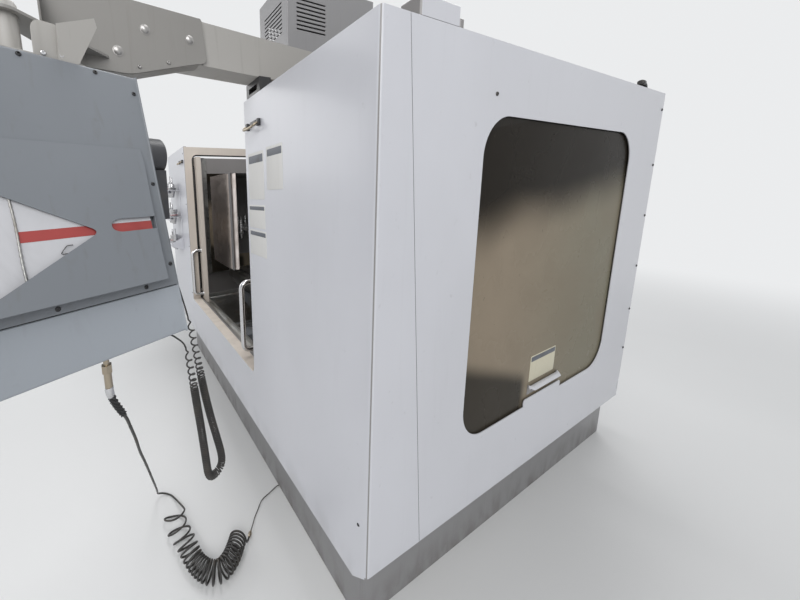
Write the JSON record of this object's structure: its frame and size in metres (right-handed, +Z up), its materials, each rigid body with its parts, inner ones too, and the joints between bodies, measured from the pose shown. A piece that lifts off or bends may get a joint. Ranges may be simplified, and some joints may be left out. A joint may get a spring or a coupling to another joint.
{
  "type": "cnc machining center",
  "caption": "Vertical machining center with an open-topped white enclosure, sliding doors, side windows, T-slot table, tool carousel and a swivelling control pendant.",
  "frame": {"origin": "on the floor, midway between the side panels and midway between the enclosure's front and rear edges, on the base tank's flat underside", "axes": "+X to the operator's right, +Y to the back, +Z up"},
  "size_m": [2.67, 3.0876, 2.69],
  "materials": {
    "white_paint": "gloss",
    "cream_paint": "gloss",
    "tank_paint": "satin",
    "casting_paint": "satin",
    "machined_steel": "satin",
    "galvanised": "matte",
    "chrome": "polished",
    "tool_steel": "polished",
    "motor_black": "satin",
    "black_metal": "satin",
    "black_rubber": "matte",
    "window_pane": "greasy",
    "door_glass": "greasy",
    "arm_paint": "satin",
    "pendant_paint": "satin",
    "panel_plastic": "matte",
    "red_plastic": "gloss",
    "green_plastic": "gloss",
    "brass_fitting": "satin"
  },
  "bodies": {
    "base": {"base_tank": "tank_paint", "bed_casting": "casting_paint", "levelling_feet": "machined_steel", "linear_rails": "machined_steel", "column": "casting_paint", "rear_wall": "white_paint", "chip_pans": "galvanised", "shuttle_rail": "casting_paint", "front_right_panel": "white_paint", "front_left_panel": "white_paint", "side_right_panel": "white_paint", "side_left_panel": "white_paint", "window_guides": "machined_steel", "jamb_frames": "cream_paint", "door_gaskets": "black_rubber", "door_track": "machined_steel", "panel_latches": "black_metal", "tool_rack": "white_paint", "control_cabinet": "white_paint", "pendant_arm": "arm_paint", "arm_clamp": "black_metal", "end_bracket": "arm_paint", "bracket_bolts": "chrome", "work_light": "arm_paint", "carousel_shroud": "tank_paint", "air_hose": "black_rubber", "air_coil": "black_rubber"},
    "door_left": {"door_left": "cream_paint", "door_pane_left": "door_glass", "door_handle_left": "chrome"},
    "door_right": {"door_right": "cream_paint", "door_pane_right": "door_glass", "door_handle_right": "chrome"},
    "window_left": {"window_left": "window_pane", "window_handle_left": "white_paint"},
    "window_right": {"window_right": "window_pane", "window_handle_right": "white_paint"},
    "saddle": {"saddle": "casting_paint", "table_rails": "machined_steel"},
    "table": {"table": "machined_steel"},
    "head": {"spindle_head": "casting_paint", "spindle_motor": "motor_black", "head_cover": "tank_paint", "coolant_ring": "machined_steel"},
    "spindle": {"spindle": "machined_steel"},
    "shuttle": {"shuttle_carriage": "machined_steel"},
    "carousel": {"carousel_plate": "machined_steel", "tool_holders": "tool_steel"},
    "cabinet_door": {"cabinet_door": "white_paint"},
    "main_switch": {"main_switch": "red_plastic"},
    "pendant": {"pendant_case": "pendant_paint", "manual_pocket": "pendant_paint", "control_face": "panel_plastic", "jog_box": "panel_plastic", "curly_cord": "black_rubber", "air_fitting": "brass_fitting"},
    "jog_wheel": {"jog_wheel": "panel_plastic"},
    "emergency_stop": {"emergency_stop": "red_plastic"},
    "start_button": {"start_button": "green_plastic"},
    "hold_button": {"hold_button": "red_plastic"}
  },
  "joints": [
    {"name": "left_door_slide", "type": "slide", "parent": "base", "child": "door_left", "axis": [1, 0, 0], "range_m": [0, 0.5445]},
    {"name": "right_door_slide", "type": "slide", "parent": "base", "child": "door_right", "axis": [1, 0, 0], "range_m": [-0.4195, 0.12]},
    {"name": "left_window_lift", "type": "slide", "parent": "base", "child": "window_left", "axis": [0, 0, 1], "range_m": [0, 0.6]},
    {"name": "right_window_lift", "type": "slide", "parent": "base", "child": "window_right", "axis": [0, 0, 1], "range_m": [0, 0.6]},
    {"name": "saddle_travel", "type": "slide", "parent": "base", "child": "saddle", "axis": [0, 1, 0], "range_m": [-0.2, 0.3]},
    {"name": "table_travel", "type": "slide", "parent": "saddle", "child": "table", "axis": [1, 0, 0], "range_m": [-0.278, 0.738]},
    {"name": "head_travel", "type": "slide", "parent": "base", "child": "head", "axis": [0, 0, 1], "range_m": [-0.34, 0.2]},
    {"name": "spindle_spin", "type": "hinge", "parent": "head", "child": "spindle", "pos_m": [0, -0.192, 1.5], "axis": [0, 0, 1], "continuous": true},
    {"name": "shuttle_travel", "type": "slide", "parent": "base", "child": "shuttle", "axis": [1, 0, 0], "range_m": [0, 0.46]},
    {"name": "carousel_spin", "type": "hinge", "parent": "shuttle", "child": "carousel", "pos_m": [-0.71, -0.192, 1.235], "axis": [0, 0, 1], "continuous": true},
    {"name": "cabinet_door_hinge", "type": "hinge", "parent": "base", "child": "cabinet_door", "pos_m": [-0.388, 1.2743, 1.2], "axis": [0, 0, 1], "range_deg": [0, 110]},
    {"name": "main_switch_turn", "type": "hinge", "parent": "cabinet_door", "child": "main_switch", "pos_m": [0.25, 1.28, 1.56], "axis": [0, 1, 0], "range_deg": [0, 90]},
    {"name": "pendant_swivel", "type": "hinge", "parent": "base", "child": "pendant", "pos_m": [0.95, -1.49, 1.85], "axis": [0, 0, 1], "range_deg": [-30, 30]},
    {"name": "jog_wheel_spin", "type": "hinge", "parent": "pendant", "child": "jog_wheel", "pos_m": [0.71899, -1.41765, 1.2025], "axis": [-0.9342, -0.3567, 0], "continuous": true},
    {"name": "emergency_stop_push", "type": "slide", "parent": "pendant", "child": "emergency_stop", "axis": [0.9342, 0.3567, 0], "range_m": [0, 0.004], "stiffness_N_per_m": 600},
    {"name": "start_push", "type": "slide", "parent": "pendant", "child": "start_button", "axis": [0.9342, 0.3567, 0], "range_m": [0, 0.003], "stiffness_N_per_m": 400},
    {"name": "hold_push", "type": "slide", "parent": "pendant", "child": "hold_button", "axis": [0.9342, 0.3567, 0], "range_m": [0, 0.003], "stiffness_N_per_m": 400}
  ]
}
